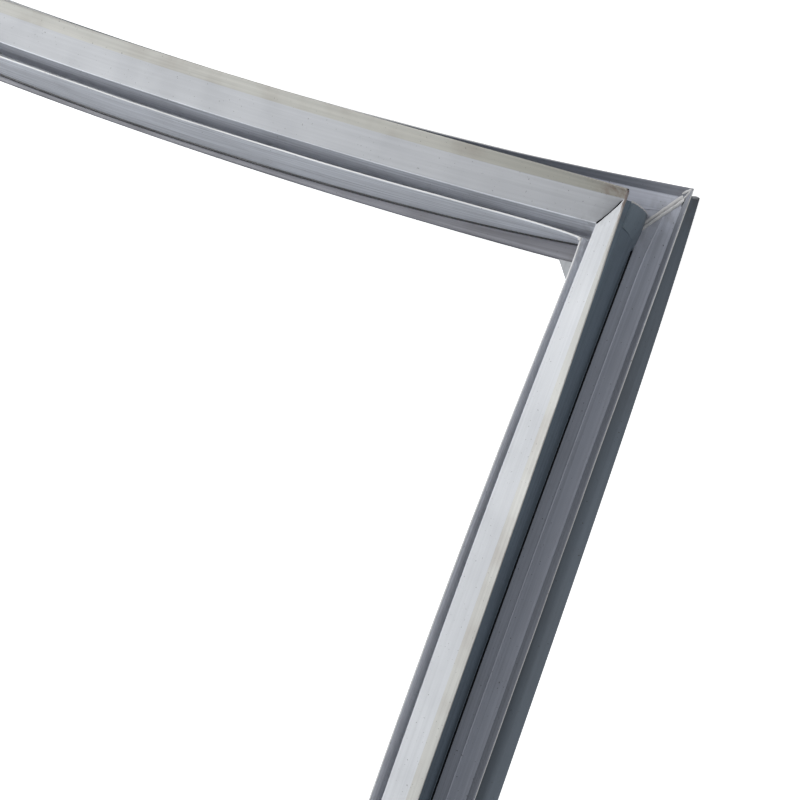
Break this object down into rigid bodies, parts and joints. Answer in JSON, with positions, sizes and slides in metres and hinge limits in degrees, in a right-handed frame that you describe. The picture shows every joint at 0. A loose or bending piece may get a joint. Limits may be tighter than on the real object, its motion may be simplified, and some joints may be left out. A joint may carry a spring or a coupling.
{
  "type": "refrigerator door gasket",
  "caption": "Soft grey door seal frame with welded corners, a raised magnetic sealing face, bellows, side lips and a push-in dart below.",
  "frame": {"origin": "centre of the frame, at the level of the surface that it lies on", "axes": "+X along the short top side, +Y along the long sides towards the top side, +Z out of the magnet face"},
  "size_m": [0.57, 0.7, 0.0309],
  "materials": {
    "soft_pvc": "satin light grey soft vinyl",
    "magnet_rubber": "matt dark brown ferrite-filled rubber"
  },
  "bodies": {
    "root": {"gasket_body": "soft_pvc", "magnet_strip_right": "magnet_rubber", "magnet_strip_top": "magnet_rubber", "magnet_strip_left": "magnet_rubber", "magnet_strip_bottom": "magnet_rubber"}
  },
  "joints": []
}
